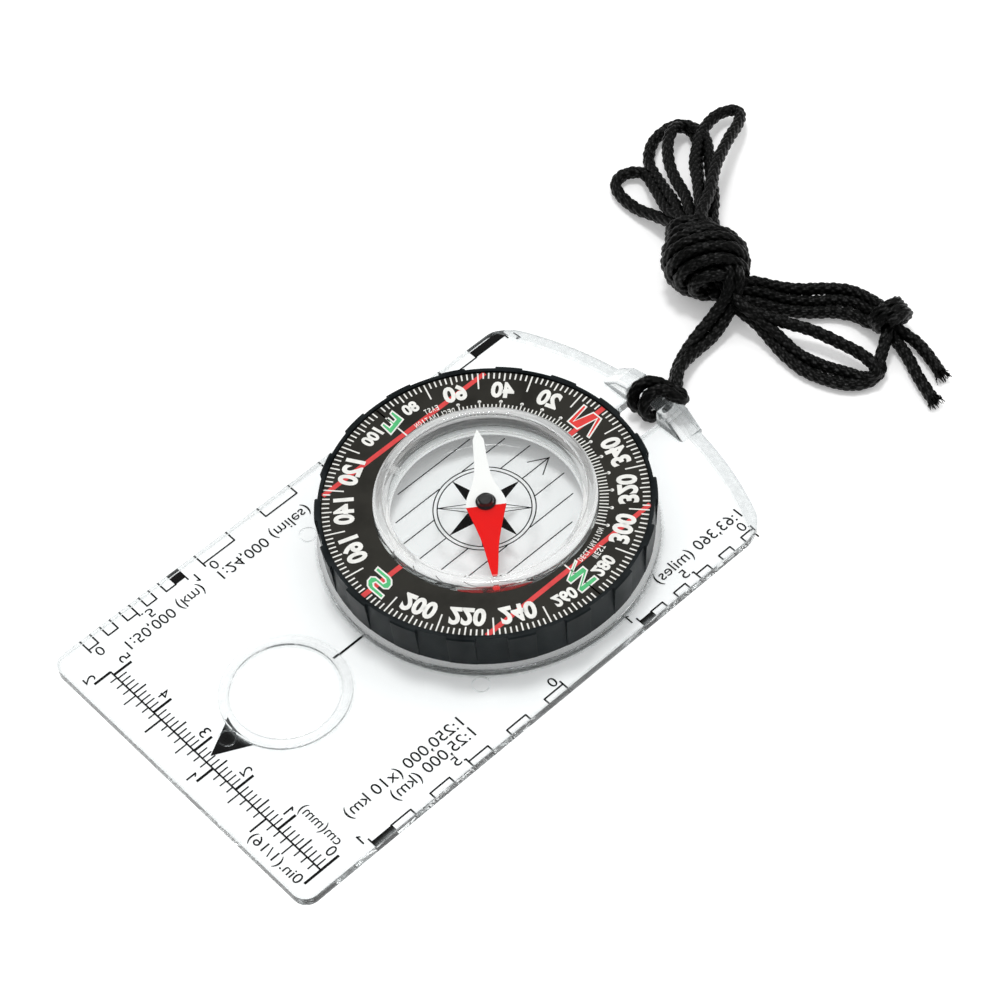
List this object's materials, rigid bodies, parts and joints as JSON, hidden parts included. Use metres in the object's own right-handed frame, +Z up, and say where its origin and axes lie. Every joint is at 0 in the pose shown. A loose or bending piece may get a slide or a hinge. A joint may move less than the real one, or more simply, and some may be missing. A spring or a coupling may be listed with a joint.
{
  "type": "baseplate compass",
  "caption": "Liquid-filled baseplate compass with clear ruled plate, magnifier, turning degree dial, magnetic needle and braided lanyard.",
  "frame": {"origin": "on the dial's turning axis, in the plane of the baseplate's underside", "axes": "+Z up out of the dial face, +Y along the plate towards the lanyard end, ruler end at -Y"},
  "size_m": [0.0779, 0.1613, 0.0126],
  "materials": {
    "clear_acrylic": "clear polished acrylic",
    "bezel_plastic": "fine satin black",
    "dial_print": "printed matt black card",
    "snap_steel": "spring steel",
    "capsule_clear": "clear polished plastic",
    "seal_rubber": "milky silicone",
    "plug_plastic": "plain",
    "fluid": "clear liquid",
    "pin_steel": "ground",
    "needle_paint": "gloss paint, red north half and white south half",
    "hub_plastic": "glossy black",
    "jewel": "polished",
    "cord": "braided black cord"
  },
  "bodies": {
    "base": {"baseplate": "clear_acrylic"},
    "dial": {"bezel_ring": "bezel_plastic", "dial_card": "dial_print", "snap_ring": "snap_steel", "capsule_dome": "capsule_clear", "capsule_base": "capsule_clear", "capsule_seal": "seal_rubber", "filler_plug": "plug_plastic", "damping_fluid": "fluid", "pivot_pin": "pin_steel"},
    "needle": {"needle": "needle_paint", "needle_hub": "hub_plastic", "jewel_bearing": "jewel"},
    "lanyard": {"lanyard_cord": "cord"}
  },
  "joints": [
    {"name": "dial_turn", "type": "hinge", "parent": "base", "child": "dial", "pos_m": [0, 0, 0], "axis": [0, 0, 1], "continuous": true},
    {"name": "needle_turn", "type": "hinge", "parent": "dial", "child": "needle", "pos_m": [0, 0, 0.0094], "axis": [0, 0, 1], "continuous": true},
    {"name": "lanyard_swing", "type": "hinge", "parent": "base", "child": "lanyard", "pos_m": [0, 0.0372, 0.0035], "axis": [1, 0, 0], "range_deg": [0, 100]}
  ]
}
